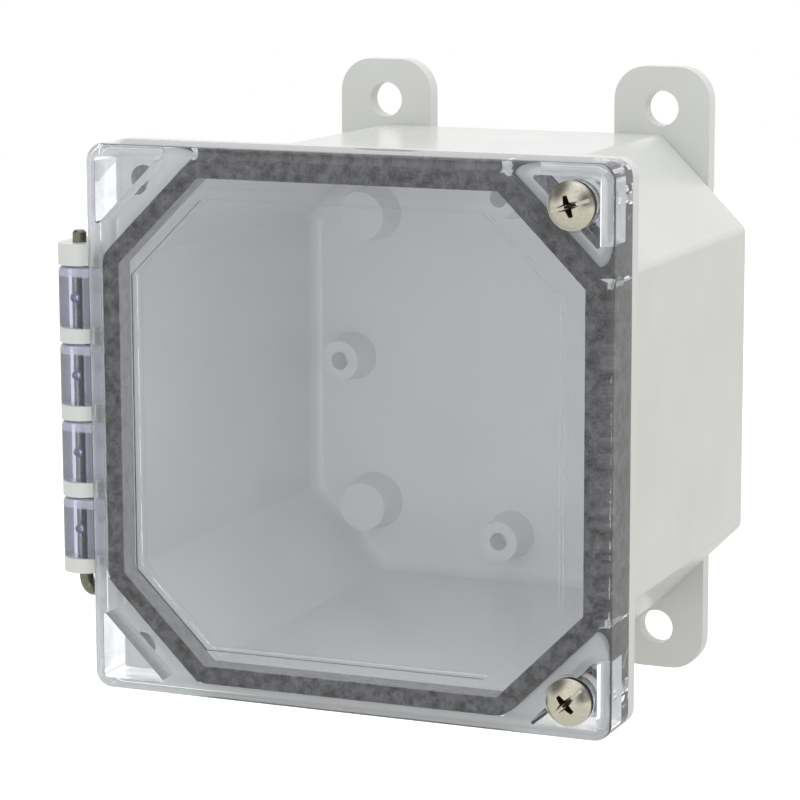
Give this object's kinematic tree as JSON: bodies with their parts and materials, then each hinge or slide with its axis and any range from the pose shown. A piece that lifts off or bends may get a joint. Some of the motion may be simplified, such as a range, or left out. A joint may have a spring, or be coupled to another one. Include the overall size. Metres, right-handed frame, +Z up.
{
  "type": "hinged enclosure",
  "caption": "Wall-mounted moulded box, octagonal in section, with a clear hinged cover, foam gasket, captive cover screws, wall feet and inner panel bosses.",
  "frame": {"origin": "centre of the four wall-foot holes, on the wall plane that the feet rest on", "axes": "+Z up along the wall, +X to the right as seen from the front, the cover faces -Y"},
  "size_m": [0.1337, 0.1168, 0.148],
  "materials": {
    "moulded_grey": "glossy moulded polycarbonate, light warm grey",
    "clear_plastic": "clear moulded polycarbonate",
    "gasket_foam": "dark grey closed-cell foam",
    "pin_steel": "plain drawn steel wire",
    "screw_nickel": "nickel plated",
    "seal_rubber": "black rubber",
    "retainer_nylon": "natural nylon",
    "insert_brass": "turned brass"
  },
  "bodies": {
    "box": {"enclosure_box": "moulded_grey", "hinge_pin": "pin_steel", "upper_threaded_insert": "insert_brass", "lower_threaded_insert": "insert_brass"},
    "cover": {"clear_cover": "clear_plastic", "cover_gasket": "gasket_foam"},
    "upper_drive": {"upper_screw_retainer": "retainer_nylon"},
    "upper_screw": {"upper_cover_screw": "screw_nickel", "upper_screw_seal": "seal_rubber"},
    "lower_drive": {"lower_screw_retainer": "retainer_nylon"},
    "lower_screw": {"lower_cover_screw": "screw_nickel", "lower_screw_seal": "seal_rubber"}
  },
  "joints": [
    {"name": "cover_hinge", "type": "hinge", "parent": "box", "child": "cover", "pos_m": [-0.06695, -0.106, 0], "axis": [0, 0, -1], "range_deg": [0, 180]},
    {"name": "upper_screw_turn", "type": "hinge", "parent": "cover", "child": "upper_drive", "pos_m": [0.053, -0.11, 0.053], "axis": [0, -1, 0], "range_deg": [0, 3600]},
    {"name": "upper_screw_back_out", "type": "slide", "parent": "upper_drive", "child": "upper_screw", "axis": [0, -1, 0], "range_m": [0, 0.00793]},
    {"name": "lower_screw_turn", "type": "hinge", "parent": "cover", "child": "lower_drive", "pos_m": [0.053, -0.11, -0.053], "axis": [0, -1, 0], "range_deg": [0, 3600]},
    {"name": "lower_screw_back_out", "type": "slide", "parent": "lower_drive", "child": "lower_screw", "axis": [0, -1, 0], "range_m": [0, 0.00793]}
  ],
  "couplings": [
    {"joint": "upper_screw_turn", "follows": "upper_screw_back_out", "rad_per_m": 7915.8},
    {"joint": "lower_screw_turn", "follows": "lower_screw_back_out", "rad_per_m": 7915.8}
  ]
}
